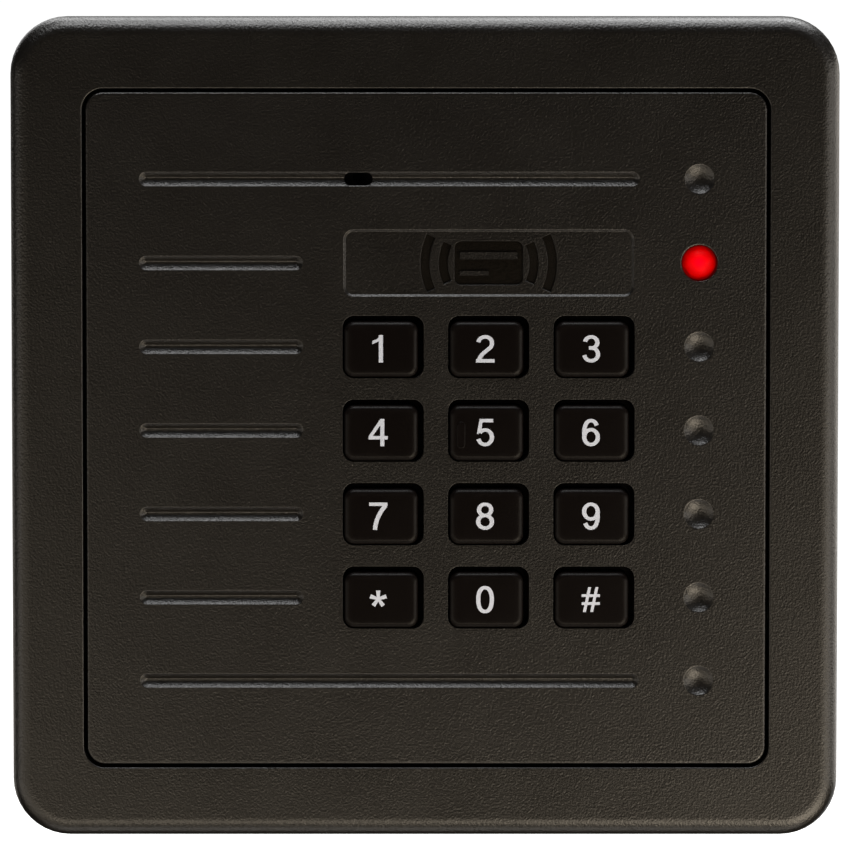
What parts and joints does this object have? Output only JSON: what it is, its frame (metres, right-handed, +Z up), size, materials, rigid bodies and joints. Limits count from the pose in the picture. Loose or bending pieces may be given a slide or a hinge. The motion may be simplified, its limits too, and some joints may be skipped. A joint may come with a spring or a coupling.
{
  "type": "keypad access reader",
  "caption": "Square wall-mounted card reader with a numeric keypad, a lit indicator lamp, a beeper port and a grooved front panel set in a plain frame.",
  "frame": {"origin": "centre of the wall plate's back face, on the wall plane", "axes": "+Z up, the front faces -Y, +Y points into the wall, +X to the right as seen from the front"},
  "size_m": [0.127, 0.0254, 0.126],
  "materials": {
    "frame_plastic": "matte",
    "panel_plastic": "matte",
    "key_rubber": "satin",
    "legend_ink": "matte",
    "lamp_lens": "gloss",
    "plate_plastic": "matte",
    "foam": "matte",
    "board_laminate": "satin",
    "carbon_print": "matte",
    "mat_rubber": "matte",
    "pill_carbon": "matte",
    "black_plastic": "satin",
    "bobbin_plastic": "satin",
    "copper_wire": "gloss",
    "terminal_plastic": "satin",
    "steel": "satin",
    "chip_epoxy": "matte",
    "can_aluminium": "satin",
    "resistor_ceramic": "satin"
  },
  "bodies": {
    "housing": {"back_plate": "plate_plastic", "wall_gasket": "foam", "bezel_frame": "frame_plastic", "front_panel": "panel_plastic", "rear_cover": "plate_plastic", "main_board": "board_laminate", "keypad_board": "board_laminate", "contact_pads": "carbon_print", "keypad_mat": "mat_rubber", "led_lamp": "lamp_lens", "led_spacer": "black_plastic", "led_leads": "steel", "beeper": "black_plastic", "beeper_gasket": "foam", "coil_former": "bobbin_plastic", "antenna_coil": "copper_wire", "connector_socket": "black_plastic", "connector_plug": "black_plastic", "terminal_block": "terminal_plastic", "terminal_screws": "steel", "terminal_clamps": "steel", "processor_chip": "chip_epoxy", "radio_chip": "chip_epoxy", "capacitors": "can_aluminium", "crystal": "can_aluminium", "regulator": "chip_epoxy", "resistors": "resistor_ceramic", "tamper_sensor": "black_plastic", "housing_screws": "steel", "keypad_screws": "steel", "module_screws": "steel", "cover_screw": "steel"},
    "key_1": {"key_1": "key_rubber", "pill_1": "pill_carbon"},
    "key_2": {"key_2": "key_rubber", "pill_2": "pill_carbon"},
    "key_3": {"key_3": "key_rubber", "pill_3": "pill_carbon"},
    "key_4": {"key_4": "key_rubber", "pill_4": "pill_carbon"},
    "key_5": {"key_5": "key_rubber", "pill_5": "pill_carbon"},
    "key_6": {"key_6": "key_rubber", "pill_6": "pill_carbon"},
    "key_7": {"key_7": "key_rubber", "pill_7": "pill_carbon"},
    "key_8": {"key_8": "key_rubber", "pill_8": "pill_carbon"},
    "key_9": {"key_9": "key_rubber", "pill_9": "pill_carbon"},
    "key_star": {"key_star": "key_rubber", "pill_star": "pill_carbon"},
    "key_0": {"key_0": "key_rubber", "pill_0": "pill_carbon"},
    "key_hash": {"key_hash": "key_rubber", "pill_hash": "pill_carbon"}
  },
  "joints": [
    {"name": "key_1_press", "type": "slide", "parent": "housing", "child": "key_1", "axis": [0, 1, 0], "range_m": [0, 0.001], "stiffness_N_per_m": 600, "springref_m": -0.001},
    {"name": "key_2_press", "type": "slide", "parent": "housing", "child": "key_2", "axis": [0, 1, 0], "range_m": [0, 0.001], "stiffness_N_per_m": 600, "springref_m": -0.001},
    {"name": "key_3_press", "type": "slide", "parent": "housing", "child": "key_3", "axis": [0, 1, 0], "range_m": [0, 0.001], "stiffness_N_per_m": 600, "springref_m": -0.001},
    {"name": "key_4_press", "type": "slide", "parent": "housing", "child": "key_4", "axis": [0, 1, 0], "range_m": [0, 0.001], "stiffness_N_per_m": 600, "springref_m": -0.001},
    {"name": "key_5_press", "type": "slide", "parent": "housing", "child": "key_5", "axis": [0, 1, 0], "range_m": [0, 0.001], "stiffness_N_per_m": 600, "springref_m": -0.001},
    {"name": "key_6_press", "type": "slide", "parent": "housing", "child": "key_6", "axis": [0, 1, 0], "range_m": [0, 0.001], "stiffness_N_per_m": 600, "springref_m": -0.001},
    {"name": "key_7_press", "type": "slide", "parent": "housing", "child": "key_7", "axis": [0, 1, 0], "range_m": [0, 0.001], "stiffness_N_per_m": 600, "springref_m": -0.001},
    {"name": "key_8_press", "type": "slide", "parent": "housing", "child": "key_8", "axis": [0, 1, 0], "range_m": [0, 0.001], "stiffness_N_per_m": 600, "springref_m": -0.001},
    {"name": "key_9_press", "type": "slide", "parent": "housing", "child": "key_9", "axis": [0, 1, 0], "range_m": [0, 0.001], "stiffness_N_per_m": 600, "springref_m": -0.001},
    {"name": "key_star_press", "type": "slide", "parent": "housing", "child": "key_star", "axis": [0, 1, 0], "range_m": [0, 0.001], "stiffness_N_per_m": 600, "springref_m": -0.001},
    {"name": "key_0_press", "type": "slide", "parent": "housing", "child": "key_0", "axis": [0, 1, 0], "range_m": [0, 0.001], "stiffness_N_per_m": 600, "springref_m": -0.001},
    {"name": "key_hash_press", "type": "slide", "parent": "housing", "child": "key_hash", "axis": [0, 1, 0], "range_m": [0, 0.001], "stiffness_N_per_m": 600, "springref_m": -0.001}
  ]
}
